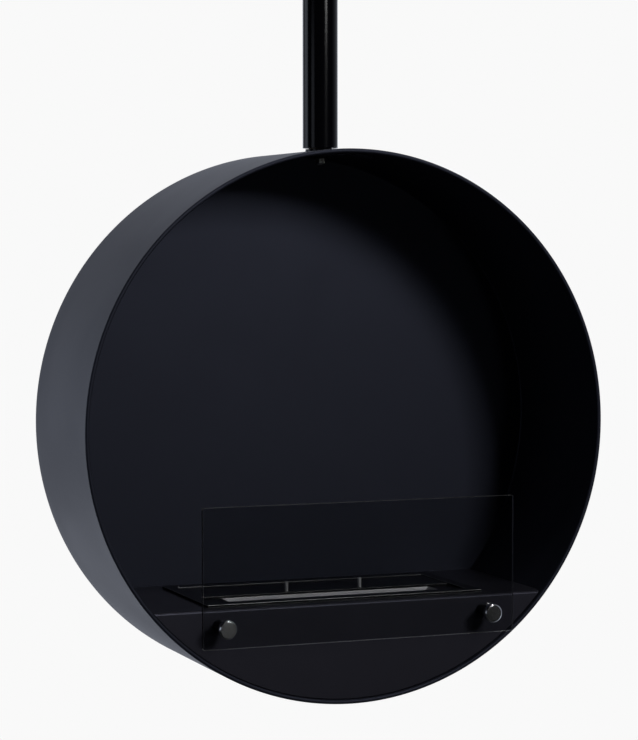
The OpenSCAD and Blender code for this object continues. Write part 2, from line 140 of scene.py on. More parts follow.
class Graph:
    """Adds nodes to a tree and links them."""

    def __init__(self, tree: Tree) -> None:
        """Starts on a tree."""
        self.tree = tree

    def node(self, kind: str, inputs: dict[Any, Any] | None = None, **settings: Any) -> Node:
        """Adds one node.

        Args:
            kind: the node's type name.
            inputs: what feeds its inputs, by socket name or number.
            settings: the node's own properties.

        Returns:
            The new node.
        """
        made = self.tree.nodes.new(kind)
        for name, value in settings.items():
            setattr(made, name, value)
        for name, value in (inputs or {}).items():
            self.feed(made.inputs[name], value)
        return made

    def feed(self, socket: Socket, value: Any) -> None:
        """Feeds a socket.

        Args:
            socket: the socket.
            value: the output that is linked to it, or else the socket's own value.
        """
        if isinstance(value, Socket):
            self.tree.links.new(value, socket)
        else:
            socket.default_value = value

    def math(self, operation: str, *values: Any) -> Socket:
        """Adds a Math node and returns its output."""
        return self.node("ShaderNodeMath", dict(enumerate(values)), operation=operation).outputs[0]

    def dot(self, first: Any, second: Any) -> Socket:
        """Multiplies two vectors to a number and returns the output."""
        inputs = {0: first, 1: second}
        return self.node("ShaderNodeVectorMath", inputs, operation="DOT_PRODUCT").outputs["Value"]

    def spread(
        self, value: Any, low: float, high: float, start: float = 0, end: float = 1
    ) -> Socket:
        """Maps a value from the range start to end to low to high, and returns the output."""
        inputs = {"Value": value, "From Min": start, "From Max": end, "To Min": low, "To Max": high}
        return self.node("ShaderNodeMapRange", inputs).outputs["Result"]

    def blend(self, share: Any, first: Any, second: Any) -> Socket:
        """Mixes two colours by the second one's share and returns the output."""
        ends = {i: v if isinstance(v, Socket) else (*v, 1) for i, v in ((6, first), (7, second))}
        return self.node("ShaderNodeMix", {"Factor": share} | ends, data_type="RGBA").outputs[2]

    def choose(self, share: Any, first: Any, second: Any) -> Socket:
        """Mixes two numbers by the second one's share and returns the output."""
        return self.node("ShaderNodeMix", {"Factor": share, 2: first, 3: second}).outputs[0]

    def noise(self, where: Socket, scale: Any, detail: float, distortion: float = 0.0) -> Socket:
        """Adds a noise texture, with its scale in waves per metre, and returns its output."""
        inputs = {"Vector": where, "Scale": scale, "Detail": detail, "Distortion": distortion}
        return self.node("ShaderNodeTexNoise", inputs).outputs["Fac"]


class Group(Graph):
    """A node group with named sockets."""

    def __init__(
        self, name: str, kind: str, inputs: dict[str, Any], outputs: dict[str, str]
    ) -> None:
        """Starts the group.

        Args:
            name: the group's name.
            kind: the tree's type name.
            inputs: for each input its first value, a float or an int, or else its socket type.
            outputs: for each output its socket type.
        """
        super().__init__(bpy.data.node_groups.new(name, kind))
        new_socket = self.tree.interface.new_socket
        for label, first in inputs.items():
            if isinstance(first, str):
                new_socket(label, in_out="INPUT", socket_type=first)
            else:
                number = WHOLE if isinstance(first, int) else NUMBER
                new_socket(label, in_out="INPUT", socket_type=number).default_value = first
        for label, socket_type in outputs.items():
            new_socket(label, in_out="OUTPUT", socket_type=socket_type)
        self.given = self.node("NodeGroupInput").outputs

    def end(self, values: dict[str, Socket]) -> Tree:
        """Feeds the group's outputs and returns its tree."""
        self.node("NodeGroupOutput", values)
        return self.tree


# ---- shared shader effects


def paint_skin() -> Tree:
    """Builds the fine orange-peel skin of sprayed paint: a height and a slow change of tone.

    Returns:
        The node group.
    """
    speck_scale, speck_height, tone_scale = 0.6, 0.35, 0.02
    outputs = {"Height": NUMBER, "Tone": NUMBER}
    group = Group("paint_skin", "ShaderNodeTree", {"Vector": VECTOR, "Grain": 0.001}, outputs)
    where = group.given["Vector"]
    per_metre = group.math("DIVIDE", 1.0, group.given["Grain"])
    peel = group.noise(where, per_metre, detail=3.0)
    speckled = {"Vector": where, "Scale": group.math("MULTIPLY", per_metre, speck_scale)}
    specks = group.node("ShaderNodeTexVoronoi", speckled).outputs["Distance"]
    tone = group.noise(where, group.math("MULTIPLY", per_metre, tone_scale), detail=4.0)
    height = group.math("MULTIPLY_ADD", specks, speck_height, peel)
    return group.end({"Height": height, "Tone": tone})


def handling() -> Tree:
    """Builds the soft uneven patches that wiping and handling leave: a mask from 0 to 1.

    Returns:
        The node group.
    """
    group = Group("handling", "ShaderNodeTree", {"Vector": VECTOR, "Size": 0.2}, {"Mask": NUMBER})
    per_metre = group.math("DIVIDE", 1.0, group.given["Size"])
    patches = group.noise(group.given["Vector"], per_metre, detail=5.0, distortion=0.6)
    return group.end({"Mask": group.spread(patches, 0, 1, start=0.3, end=0.7)})


def metal_marks() -> Tree:
    """Builds the fine lines of a turned or brushed metal, which run where the vector is drawn out.

    Returns:
        The node group.
    """
    band_scale, half = 0.15, 0.5
    outputs = {"Height": NUMBER, "Streak": NUMBER}
    group = Group("metal_marks", "ShaderNodeTree", {"Vector": VECTOR, "Pitch": 0.0004}, outputs)
    where = group.given["Vector"]
    per_metre = group.math("DIVIDE", 1.0, group.given["Pitch"])
    lines = group.noise(where, per_metre, detail=4.0)
    bands = group.noise(where, group.math("MULTIPLY", per_metre, band_scale), detail=2.0)
    streak = group.math("MULTIPLY_ADD", bands, half, group.math("MULTIPLY", lines, half))
    return group.end({"Height": lines, "Streak": streak})


@dataclass
class Effects:
    """The effects that more than one finish uses, as shader node groups."""

    skin: Tree = field(default_factory=paint_skin)
    handling: Tree = field(default_factory=handling)
    marks: Tree = field(default_factory=metal_marks)


# ---- finishes


class Coat(Graph):
    """The graph of one material, round a Principled shader."""

    def __init__(self, name: str, effects: Effects | None = None) -> None:
        """Starts the material.

        Args:
            name: its name.
            effects: the shared effects, where it uses them.
        """
        self.material = bpy.data.materials.new(name)
        self.material.use_nodes = True
        super().__init__(self.material.node_tree)
        self.shader = self.tree.nodes["Principled BSDF"]
        self.effects = effects

    @property
    def place(self) -> Socket:
        """The output that gives a point's place on its piece."""
        return self.node("ShaderNodeTexCoord").outputs["Object"]

    def mapped(self, scale: Sequence[float], turn: float = 0.0) -> Socket:
        """Returns a point's place with its marks turned about Z, in degrees, and then drawn out."""
        inputs = {"Vector": self.place, "Rotation": (0, 0, math.radians(turn)), "Scale": scale}
        return self.node("ShaderNodeMapping", inputs).outputs["Vector"]

    def attribute(self, name: str, output: str = "Fac") -> Socket:
        """Returns the output that gives an attribute of the mesh."""
        return self.node("ShaderNodeAttribute", attribute_name=name).outputs[output]

    def use(self, group: Tree, inputs: dict[str, Any]) -> bpy.types.NodeOutputs:
        """Adds a shader node group and returns its outputs."""
        return self.node("ShaderNodeGroup", inputs, node_tree=group).outputs

    def skin(self, grain: float) -> bpy.types.NodeOutputs:
        """Adds the skin of sprayed paint and returns its outputs."""
        return self.use(self.effects.skin, {"Vector": self.place, "Grain": grain})

    def wiped(self, size: float) -> Socket:
        """Adds the patches that wiping leaves and returns their mask."""
        return self.use(self.effects.handling, {"Vector": self.place, "Size": size})["Mask"]

    def set(self, inputs: dict[str, Any]) -> None:
        """Feeds the shader's inputs."""
        for name, value in inputs.items():
            self.feed(self.shader.inputs[name], value)

    def bump(self, height: Socket, depth: float) -> None:
        """Roughens the surface by a height from 0 to 1, whose full depth is in metres."""
        raised = self.node("ShaderNodeBump", {"Height": height, "Distance": depth, "Strength": 1.0})
        self.set({"Normal": raised.outputs["Normal"]})


def toned(tint: Colour, share: float) -> Colour:
    """Returns a colour made darker or paler by a share."""
    return tuple(min(1.0, share * part) for part in tint)


@dataclass(frozen=True)
class SprayedPaint:
    """Powder coat or heat-proof paint on steel."""

    tint: Colour
    roughness: float
    specular: float = 0.5
    gloss_tint: Colour = WHITE
    grain: float = 0.0011
    peel: float = 0.00001
    patch: float = 0.22
    uneven: float = 0.03
    deep: float = 0.9
    pale: float = 1.12
    worn: float = 0.0
    steel: Colour = (0.5, 0.5, 0.52)

    def dress(self, coat: Coat) -> None:
        """Builds the paint: orange peel, slow changes of tone, wiping patches and worn edges.

        Args:
            coat: the material's graph.
        """
        skin, wiped = coat.skin(self.grain), coat.wiped(self.patch)
        deep, pale = toned(self.tint, self.deep), toned(self.tint, self.pale)
        colour = coat.blend(skin["Tone"], deep, pale)
        if self.worn:
            rubbed = coat.spread(wiped, 0.5 * self.worn, self.worn)
            bare = coat.math("MULTIPLY", coat.attribute(WORN_EDGE), rubbed)
            colour = coat.blend(bare, colour, self.steel)
            coat.set({"Metallic": bare})
        rough = coat.spread(wiped, self.roughness - self.uneven, self.roughness + self.uneven)
        coat.set({
            "Base Color": colour,
            "Roughness": rough,
            "Specular IOR Level": self.specular,
            "Specular Tint": (*self.gloss_tint, 1),
        })
        coat.bump(skin["Height"], self.peel)


@dataclass(frozen=True)
class BareMetal:
    """Bare, brushed, turned or plated metal."""

    tint: Colour
    roughness: float
    grain: Grain = Grain.EVEN
    pitch: float = 0.0004
    depth: float = 0.000004
    uneven: float = 0.08
    draw_out: float = 40.0
    dull: float = 0.8
    patch: float = 0.03
    streaked: float = 0.7

    def dress(self, coat: Coat) -> None:
        """Builds the metal: fine marks in the surface, with streaks in its tone and its gloss.

        Args:
            coat: the material's graph.
        """
        where = self._marks_place(coat)
        marks = coat.use(coat.effects.marks, {"Vector": where, "Pitch": self.pitch})
        patches = coat.math("MULTIPLY", coat.wiped(self.patch), 1 - self.streaked)
        shade = coat.math("MULTIPLY_ADD", marks["Streak"], self.streaked, patches)
        low, high = self.roughness - self.uneven, self.roughness + self.uneven
        coat.set({
            "Base Color": coat.blend(shade, toned(self.tint, self.dull), self.tint),
            "Roughness": coat.spread(shade, low, high, start=0.2, end=0.8),
            "Metallic": 1.0,
        })
        coat.bump(marks["Height"], self.depth)

    def _marks_place(self, coat: Coat) -> Socket:
        """Finds the vector that the marks follow.

        Args:
            coat: the material's graph.

        Returns:
            The output that gives the vector.
        """
        if self.grain is Grain.TURNED:
            return coat.attribute(LATHE_PLACE, "Vector")
        if self.grain is Grain.ALONG_X:
            return coat.mapped((1 / self.draw_out, 1, 1))
        return coat.place


@dataclass(frozen=True)
class SmokedGlass:
    """Toughened glass with a slight smoke, which lets lamps through."""

    tint: Colour
    passing: Colour = (0.96, 0.965, 0.965)
    roughness: float = 0.02
    edge: float = 0.45
    pale: float = 1.04
    patch: float = 0.09
    index: float = 1.5

    def dress(self, coat: Coat) -> None:
        """Builds the glass, with faint wiping marks in its gloss and dull ground edges.

        Args:
            coat: the material's graph.
        """
        wiped = coat.wiped(self.patch)
        polish = coat.spread(wiped, 0.0, self.roughness)
        ground = coat.math("MULTIPLY", coat.attribute(GROUND_EDGE), self.edge)
        coat.set({
            "Base Color": coat.blend(wiped, self.tint, toned(self.tint, self.pale)),
            "Roughness": coat.math("MAXIMUM", polish, ground),
            "Transmission Weight": 1.0,
            "IOR": self.index,
        })
        ray = coat.node("ShaderNodeLightPath").outputs
        glossy = coat.math("SUBTRACT", ray["Is Glossy Ray"], ray["Is Transmission Ray"])
        mirrored = coat.math("MAXIMUM", glossy, 0)
        soft = coat.math("MAXIMUM", ray["Is Diffuse Ray"], mirrored)
        through = coat.math("MAXIMUM", ray["Is Shadow Ray"], soft)
        clear = coat.node("ShaderNodeBsdfTransparent", {"Color": (*self.passing, 1)}).outputs[0]
        mix = coat.node("ShaderNodeMixShader", {0: through, 1: coat.shader.outputs[0], 2: clear})
        coat.feed(coat.tree.nodes["Material Output"].inputs["Surface"], mix.outputs[0])


@dataclass(frozen=True)
class Silicone:
    """Milky silicone rubber."""

    tint: Colour
    grain: float = 0.0007
    skin: float = 0.00001
    deep: float = 0.85
    roughness: tuple[float, float] = (0.45, 0.6)
    milky: float = 0.2
    milky_depth: float = 1 * MM

    def dress(self, coat: Coat) -> None:
        """Builds the rubber, with a dull moulded skin.

        Args:
            coat: the material's graph.
        """
        skin = coat.skin(self.grain)
        coat.set({
            "Base Color": coat.blend(skin["Tone"], toned(self.tint, self.deep), self.tint),
            "Roughness": coat.spread(skin["Height"], *self.roughness),
            "Subsurface Weight": self.milky,
            "Subsurface Radius": (self.milky_depth,) * 3,
        })
        coat.bump(skin["Height"], self.skin)


@dataclass(frozen=True)
class FibreWool:
    """Felted mineral fibre."""

    tint: Colour
    fibre: float = 0.0006
    turns: tuple[float, float, float] = (25, 100, 160)
    draw_out: tuple[float, float, float] = (0.12, 1, 0.6)
    deep: float = 0.7
    patch: float = 0.04
    roughness: tuple[float, float] = (0.95, 0.8)
    fuzz: float = 0.2
    pile: float = 0.5 * MM

    def dress(self, coat: Coat) -> None:
        """Builds the felt: short fibres that cross, in a slightly uneven white.

        Args:
            coat: the material's graph.
        """
        lying = [
            coat.noise(coat.mapped(self.draw_out, turn), 1 / self.fibre, detail=2.0)
            for turn in self.turns
        ]
        fibres = coat.math("MAXIMUM", coat.math("MAXIMUM", lying[0], lying[1]), lying[2])
        combed = coat.spread(fibres, 0, 1, start=0.4, end=0.75)
        shade = coat.math("MULTIPLY", combed, coat.spread(coat.wiped(self.patch), 0.8, 1))
        coat.set({
            "Base Color": coat.blend(shade, toned(self.tint, self.deep), self.tint),
            "Roughness": coat.spread(fibres, *self.roughness),
            "Sheen Weight": self.fuzz,
        })
        coat.bump(fibres, self.pile)


Recipe = SprayedPaint | BareMetal | SmokedGlass | Silicone | FibreWool

RECIPES: dict[Finish, Recipe] = {
    Finish.DRUM: SprayedPaint((0.018, 0.019, 0.027), 0.5, gloss_tint=(0.64, 0.7, 1.0)),
    Finish.TRAY: SprayedPaint((0.032, 0.031, 0.041), 0.37, gloss_tint=(0.74, 0.76, 1.0)),
    Finish.POLE: SprayedPaint((0.004, 0.004, 0.006), 0.15, 0.2, grain=0.002, uneven=0.015),
    Finish.BURNER: SprayedPaint((0.003, 0.003, 0.004), 0.36, 0.15, grain=0.0008, worn=0.8),
    Finish.SATIN: BareMetal((0.84, 0.84, 0.86), 0.44, Grain.TURNED),
    Finish.ZINC: BareMetal((0.68, 0.69, 0.68), 0.3),
    Finish.PLAIN: BareMetal((0.33, 0.33, 0.34), 0.42, depth=0.000008),
    # The bearings' bronze is darkened almost to black: painted shade for the shaded gap in the neck
    # where they sit.
    Finish.BRONZE: BareMetal((0.07, 0.055, 0.04), 0.55, depth=0.000008),
    Finish.GLASS: SmokedGlass((0.74, 0.75, 0.75)),
    Finish.GASKET: Silicone((0.55, 0.56, 0.58)),
    Finish.WOOL: FibreWool((0.84, 0.83, 0.79)),
}
BRUSHED_SHEET = BareMetal((0.76, 0.75, 0.78), 0.52, Grain.ALONG_X, pitch=0.0005)
TURNED_FACE = BareMetal((0.56, 0.57, 0.585), 0.225, Grain.TURNED, uneven=0.05)


# ---- making meshes


class MeshTree(Group):
    """A Geometry Nodes tree that makes a mesh in a finish."""

    def __init__(self, name: str, inputs: dict[str, Any]) -> None:
        """Starts the tree with its inputs, and one more for the finish."""
        inputs = inputs | {"Finish": FINISH}
        super().__init__(name, "GeometryNodeTree", inputs, {"Geometry": SOLID})

    def make(self, kind: str, inputs: dict[Any, Any] | None = None, **settings: Any) -> Socket:
        """Adds a node, by its type name after GeometryNode, and returns its first output."""
        return self.node("GeometryNode" + kind, inputs, **settings).outputs[0]

    def circle(self, steps: Any, radius: Any) -> Socket:
        """Draws a circle and returns the output."""
        return self.make("CurvePrimitiveCircle", {"Resolution": steps, "Radius": radius})

    def sweep(self, rail: Socket, section: Socket, caps: bool = False) -> Socket:
        """Sweeps a section along a rail and returns the output."""
        inputs = {"Curve": rail, "Profile Curve": section, "Fill Caps": caps}
        return self.make("CurveToMesh", inputs)

    def join(self, *parts: Socket) -> Socket:
        """Joins geometries.

        Args:
            parts: the outputs that give them.

        Returns:
            The output that gives them as one.
        """
        joined = self.node("GeometryNodeJoinGeometry")
        for part in parts:
            self.feed(joined.inputs[0], part)
        return joined.outputs[0]

    def real(self, geometry: Socket) -> Socket:
        """Makes instances real and returns the output."""
        return self.make("RealizeInstances", {"Geometry": geometry})

    def merge(self, geometry: Socket) -> Socket:
        """Merges the vertices that lie on one another and returns the output."""
        return self.make("MergeByDistance", {"Geometry": geometry, "Distance": MERGE})

    def dressed(self, geometry: Socket) -> Tree:
        """Makes instances real, sets the material and returns the ended tree."""
        inputs = {"Geometry": self.real(geometry), "Material": self.given["Finish"]}
        return self.end({"Geometry": self.make("SetMaterial", inputs)})


def turning_tree() -> Tree:
    """Builds the lathe.

    The outline comes in as a mesh of edges, with the radius in x, the place along the axis in y and
    the rounding of each corner in an attribute. It is rounded and then swept about +Z.

    Returns:
        The node tree.
    """
    tree = MeshTree("lathe", {"Outline": SOLID, "Segments": 96, "Arc Steps": 5})
    drawn = tree.make("MeshToCurve", {"Mesh": tree.given["Outline"]})
    rounding = tree.make("InputNamedAttribute", {"Name": ROUNDING}, data_type="FLOAT")
    fillet = {"Curve": drawn, "Count": tree.given["Arc Steps"], "Radius": rounding}
    outline = tree.make("FilletCurve", fillet | {"Limit Radius": True}, mode="POLY")
    circle = tree.circle(tree.given["Segments"], 1.0)
    upright = tree.make("SetCurveNormal", {"Curve": circle}, mode="Z_UP")
    inwards = tree.make("Transform", {"Geometry": outline, "Translation": (-1, 0, 0)})
    return tree.dressed(tree.merge(tree.sweep(upright, inwards)))


def perforating_tree() -> Tree:
    """Builds a flat plate with rows of round holes, centred on the origin.

    Returns:
        The node tree.
    """
    sizes = {"Width": 0.3, "Depth": 0.05, "Thickness": 0.001}
    holes = {"Pitch X": 0.014, "Pitch Y": 0.015, "Hole Radius": 0.004, "Columns": 20, "Rows": 3}
    tree = MeshTree("perforated_plate", sizes | holes)
    given, hole_steps = tree.given, 24
    oblong = {"Width": given["Width"], "Height": given["Depth"]}
    plate = tree.make("CurvePrimitiveQuadrilateral", oblong)
    across, along = (
        tree.math("MULTIPLY", tree.math("SUBTRACT", given[count], 1), given[pitch])
        for count, pitch in (("Columns", "Pitch X"), ("Rows", "Pitch Y"))
    )
    points = {"Size X": across, "Size Y": along}
    points |= {"Vertices X": given["Columns"], "Vertices Y": given["Rows"]}
    grid = tree.make("MeshGrid", points)
    hole = tree.circle(hole_steps, given["Hole Radius"])
    punched = tree.make("InstanceOnPoints", {"Points": grid, "Instance": hole})
    face = tree.make("FillCurve", {"Curve": tree.join(plate, tree.real(punched))})
    pull = {"Mesh": face, "Offset Scale": given["Thickness"], "Individual": False}
    raised = tree.make("ExtrudeMesh", pull)
    under = tree.make("FlipFaces", {"Mesh": face})
    return tree.dressed(tree.merge(tree.join(raised, under)))


def thread_tree() -> Tree:
    """Builds a screw thread's ridge, which winds up +Z from the origin.

    Returns:
        The node tree.
    """
    sizes = {"Radius": 0.004, "Pitch": 0.00125, "Ridge": 0.0004, "Length": 0.01}
    tree = MeshTree("thread", sizes)
    given, steps_per_turn, section_steps = tree.given, 28, 3
    core = tree.math("SUBTRACT", given["Radius"], given["Ridge"])
    turns = tree.math("DIVIDE", given["Length"], given["Pitch"])
    winding = {"Resolution": steps_per_turn, "Rotations": turns, "Height": given["Length"]}
    wound = tree.make("CurveSpiral", winding | {"Start Radius": core, "End Radius": core})
    section = tree.circle(section_steps, given["Ridge"])
    return tree.dressed(tree.sweep(wound, section, caps=True))


def bead_tree() -> Tree:
    """Builds a rippled weld bead: a ring about +Z that can lie on a cylinder along Y.

    Returns:
        The node tree.
    """
    steps_per_ripple, section_steps = 6, 8
    sizes = {"Ring Radius": 0.02, "Bead Radius": 0.0012, "Ripple": 0.15, "Cylinder Curve": 0.0}
    tree = MeshTree("weld_bead", sizes | {"Ripples": 60})
    given = tree.given
    steps = tree.math("MULTIPLY", given["Ripples"], steps_per_ripple)
    ring = tree.circle(steps, given["Ring Radius"])
    share = tree.make("SplineParameter")
    turns = tree.math("MULTIPLY", tree.math("MULTIPLY", share, given["Ripples"]), math.tau)
    swell = tree.math("MULTIPLY_ADD", tree.math("SINE", turns), given["Ripple"], 1.0)
    rail = tree.make("SetCurveRadius", {"Curve": ring, "Radius": swell})
    swept = tree.sweep(rail, tree.circle(section_steps, given["Bead Radius"]))
    spot = tree.node("ShaderNodeSeparateXYZ", {0: tree.make("InputPosition")}).outputs
    squared = tree.math("MULTIPLY", spot["X"], spot["X"])
    fall = tree.math("MULTIPLY", squared, given["Cylinder Curve"])
    offset = tree.node("ShaderNodeCombineXYZ", {"Z": fall}).outputs[0]
    return tree.dressed(tree.make("SetPosition", {"Geometry": swept, "Offset": offset}))


def as_mesh(work: bmesh.types.BMesh, name: str) -> Mesh:
    """Keeps a working mesh as a new mesh.

    Args:
        work: the working mesh, which is freed.
        name: the new mesh's name.

    Returns:
        The new mesh.
    """
    mesh = bpy.data.meshes.new(name)
    work.to_mesh(mesh)
    work.free()
    return mesh


def cleaned(node: str) -> bmesh.types.BMesh:
    """Copies a node's mesh with its flat faces whole.

    Args:
        node: the node's name.

    Returns:
        The copy, as a working mesh.
    """
    work = bmesh.new()
    work.from_mesh(bpy.data.objects[node].data)
    bmesh.ops.remove_doubles(work, verts=work.verts, dist=MERGE)
    bmesh.ops.dissolve_limit(work, angle_limit=PLANAR, verts=work.verts, edges=work.edges)
    return work


def linked(name: str, data: bpy.types.ID) -> bpy.types.Object:
    """Adds an object to the scene.

    Args:
        name: its name.
        data: its mesh, lamp or camera.

    Returns:
        The object.
    """
    made = bpy.data.objects.new(name, data)
    bpy.context.scene.collection.objects.link(made)
    return made


def applied(mesh: Mesh, kind: str, keys: dict[str, Any] | None = None, **settings: Any) -> Mesh:
    """Applies one modifier to a mesh.

    Args:
        mesh: the mesh.
        kind: the modifier's type.
        keys: the values of a node tree's inputs, by socket identifier.
        settings: the modifier's own properties.

    Returns:
        The new mesh.
    """
    carrier = linked("carrier", mesh)
    modifier = carrier.modifiers.new("step", kind)
    for name, value in settings.items():
        setattr(modifier, name, value)
    for key, value in (keys or {}).items():
        modifier[key] = value
    shown = carrier.evaluated_get(bpy.context.evaluated_depsgraph_get())
    result = bpy.data.meshes.new_from_object(shown)
    carrier.modifiers.remove(modifier)
    bpy.data.objects.remove(carrier)
    return result


def run(tree: Tree, values: dict[str, Any], start: Mesh | None = None) -> Mesh:
    """Runs a Geometry Nodes tree and keeps its result as a plain mesh.

    Args:
        tree: the node tree.
        values: the values of its named inputs.
        start: the mesh that goes into its first input.

    Returns:
        The new mesh.
    """
    inputs = [item for item in tree.interface.items_tree if item.in_out == "INPUT"]
    keys = {item.identifier: values[item.name] for item in inputs if item.name in values}
    return applied(start or bpy.data.meshes.new("carrier"), "NODES", keys, node_group=tree)


def mark_faces(mesh: Mesh, name: str, chosen: Callable[[Vector], bool]) -> None:
    """Marks a mesh's faces in an attribute, where a test of their normals comes out true."""
    marks = mesh.attributes.new(name, "FLOAT", "FACE")
    marks.data.foreach_set("value", [float(chosen(face.normal)) for face in mesh.polygons])


def face_outwards(mesh: Mesh) -> None:
    """Turns a closed mesh's faces over where its volume comes out negative.

    Args:
        mesh: the mesh.
    """
    work = bmesh.new()
    work.from_mesh(mesh)
    if work.calc_volume(signed=True) < 0:
        bmesh.ops.reverse_faces(work, faces=work.faces)
        work.to_mesh(mesh)
    work.free()


def placed(mesh: Mesh, matrix: Matrix) -> Mesh:
    """Copies a mesh to another place.

    Args:
        mesh: the mesh.
        matrix: the move.

    Returns:
        The copy.
    """
    copy = mesh.copy()
    copy.transform(matrix)
    return copy


def hexagon(across: float, height: float, bore: float, chamfer: float) -> Mesh:
    """Makes a hexagon nut that stands on z = 0, with chamfered corners.

    Args:
        across: its width across the flats.
        height: its height.
        bore: the radius of its bore.
        chamfer: the height of the corners' chamfer.

    Returns:
        The mesh.
    """
    sides, count, lip = 6, 48, 0.02 * chamfer
    flat, corner = across / 2, across / math.sqrt(3)
    angles = [math.tau * i / count for i in range(count)]
    reaches = [flat / math.cos(angle % (math.tau / sides) - math.pi / sides) for angle in angles]
    drops = [chamfer * (1 - (reach - flat) / (corner - flat)) for reach in reaches]
    rings = [
        ([flat] * count, [0] * count),
        (reaches, [max(chamfer - drop, lip) for drop in drops]),
        (reaches, [min(height - chamfer + drop, height - lip) for drop in drops]),
        ([flat] * count, [height] * count),
        ([bore] * count, [height] * count),
        ([bore] * count, [0] * count),
    ]
    work = bmesh.new()
    rows = [
        [
            work.verts.new((radius * math.cos(angle), radius * math.sin(angle), z))
            for angle, radius, z in zip(angles, radii, heights)
        ]
        for radii, heights in rings
    ]
    for low, high in zip(rows, rows[1:] + rows[:1]):
        for i in range(count):
            after = (i + 1) % count
            work.faces.new((low[i], low[after], high[after], high[i]))
    mesh = as_mesh(work, "hexagon")
    face_outwards(mesh)
    return mesh


@dataclass
class Workshop:
    """Makes finished pieces, by its node trees or as softened copies of the part's own nodes."""

    effects: Effects = field(default_factory=Effects)
    lathe: Tree = field(default_factory=turning_tree)
    perforator: Tree = field(default_factory=perforating_tree)
    threader: Tree = field(default_factory=thread_tree)
    welder: Tree = field(default_factory=bead_tree)
    materials: dict[Finish, Material] = field(init=False)
    sheet: Material = field(init=False)
    faced: Material = field(init=False)

    def __post_init__(self) -> None:
        """Mixes every finish once."""
        self.materials = {kind: self._mixed(kind.value, RECIPES[kind]) for kind in RECIPES}
        self.sheet = self._mixed("satin_steel_sheet", BRUSHED_SHEET)
        self.faced = self._mixed("satin_steel_faced", TURNED_FACE)

    def _mixed(self, name: str, recipe: Recipe) -> Material:
        """Builds a recipe's material.

        Args:
            name: the material's name after finish_.
            recipe: the recipe.

        Returns:
            The material.
        """
        coat = Coat("finish_" + name, self.effects)
        recipe.dress(coat)
        return coat.material

    def turned(
        self,
        corners: Sequence[Corner],
        finish: Finish,
        centre: Sequence[float],
        axis: Axis = Axis.UP,
        segments: int = 96,
        steps: int = 5,
        closed: bool = False,
    ) -> Mesh:
        """Turns a piece on the lathe.

        Args:
            corners: the outline's corners as radius, place along the axis and rounding.
            finish: the piece's finish.
            centre: where the axis starts.
            axis: the axis's direction.
            segments: the number of steps round the axis.
            steps: the number of steps in each rounding.
            closed: whether the outline's end meets its start, away from the axis.

        Returns:
            The turned mesh, in place.
        """
        drawn = bpy.data.meshes.new("outline")
        count = len(corners)
        edges = [(i, (i + 1) % count) for i in range(count if closed else count - 1)]
        drawn.from_pydata([(radius, -along, 0) for radius, along, _ in corners], edges, [])
        rounding = drawn.attributes.new(ROUNDING, "FLOAT", "POINT")
        rounding.data.foreach_set("value", [corner[2] for corner in corners])
        values = {"Segments": segments, "Arc Steps": steps, "Finish": self.materials[finish]}
        mesh = run(self.lathe, values, drawn)
        face_outwards(mesh)
        spots = mesh.attributes.new(LATHE_PLACE, "FLOAT_VECTOR", "POINT")
        for spot, vertex in zip(spots.data, mesh.vertices):
            spot.vector = (vertex.co.xy.length, vertex.co.z, 0)
        mesh.transform(Matrix.Translation(centre) @ axis.value)
        return mesh

    def weld(self, height: float, finish: Finish, values: dict[str, Any]) -> Mesh:
        """Lays a weld bead about the pole's axis at a height, by the bead tree's values."""
        bead = run(self.welder, values | {"Finish": self.materials[finish]})
        return placed(bead, Matrix.Translation((0, 0, height)))

    def softened(self, node: str, edge: float) -> Mesh:
        """Copies a node's mesh, in place, and rounds its sharp edges to a width."""
        bevel = {"width": edge, "segments": 2, "limit_method": "ANGLE", "angle_limit": SMOOTH}
        return applied(as_mesh(cleaned(node), node + "_copy"), "BEVEL", **bevel)

    def finish(
        self,
        name: str,
        meshes: Sequence[Mesh],
        body: Body,
        finish: Finish,
        node: str,
        material: Material | None = None,
    ) -> bpy.types.Object:
        """Joins meshes to one finished piece that rides on a body.

        Args:
            name: the piece's name.
            meshes: its meshes, in place.
            body: the body that it rides on.
            finish: its finish.
            node: the node that it replaces.
            material: the material where it isn't the finish's own.

        Returns:
            The piece.
        """
        joined = bmesh.new()
        for mesh in meshes:
            joined.from_mesh(mesh)
        mesh = as_mesh(joined, name)
        mesh.materials.clear()
        for polygon in mesh.polygons:
            polygon.material_index = 0
            polygon.use_smooth = True
        mesh.set_sharp_from_angle(angle=SMOOTH)
        mesh = applied(mesh, "WEIGHTED_NORMAL", weight=100, keep_sharp=True)
        mesh.name = name
        mesh.materials.clear()
        mesh.materials.append(material or self.materials[finish])
        piece = linked(name, mesh)
        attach(piece, body.value)
        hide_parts(node)
        LOG.info("%s: %d faces on %s", name, len(mesh.polygons), body.value)
        return piece

    def soften(
        self, body: Body, finish: Finish, edge: float, *nodes: str, material: Material | None = None
    ) -> None:
        """Replaces nodes by their softened copies, under the node's name with _worked after it.

        Args:
            body: the body that they ride on.
            finish: their finish.
            edge: the width of their rounded edges.
            nodes: the nodes' names.
            material: the material where it isn't the finish's own.
        """
        for node in nodes:
            copy = self.softened(node, edge)
            self.finish(node + "_worked", [copy], body, finish, node, material)

    def plate(self, node: str, edge: float, body: Body) -> None:
        """Replaces one of the burner's plates by its softened copy, with its rounded edges worn.

        Args:
            node: the plate's name.
            edge: the width of its rounded edges.
            body: the body that it rides on.
        """
        mesh = self.softened(node, edge)
        mark_faces(mesh, WORN_EDGE, lambda normal: UPRIGHT < abs(normal.z) < FACE_ON)
        self.finish(node + "_worked", [mesh], body, Finish.BURNER, node)


@dataclass(frozen=True)
class Extent:
    """A node's box at rest."""

    low: Vector
    high: Vector

    @classmethod
    def of(cls, node: str) -> Extent:
        """Returns a node's box."""
        return cls(*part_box(node))

    @property
    def centre(self) -> Vector:
        """The box's centre."""
        return (self.low + self.high) / 2

    @property
    def size(self) -> Vector:
        """The box's size."""
        return self.high - self.low


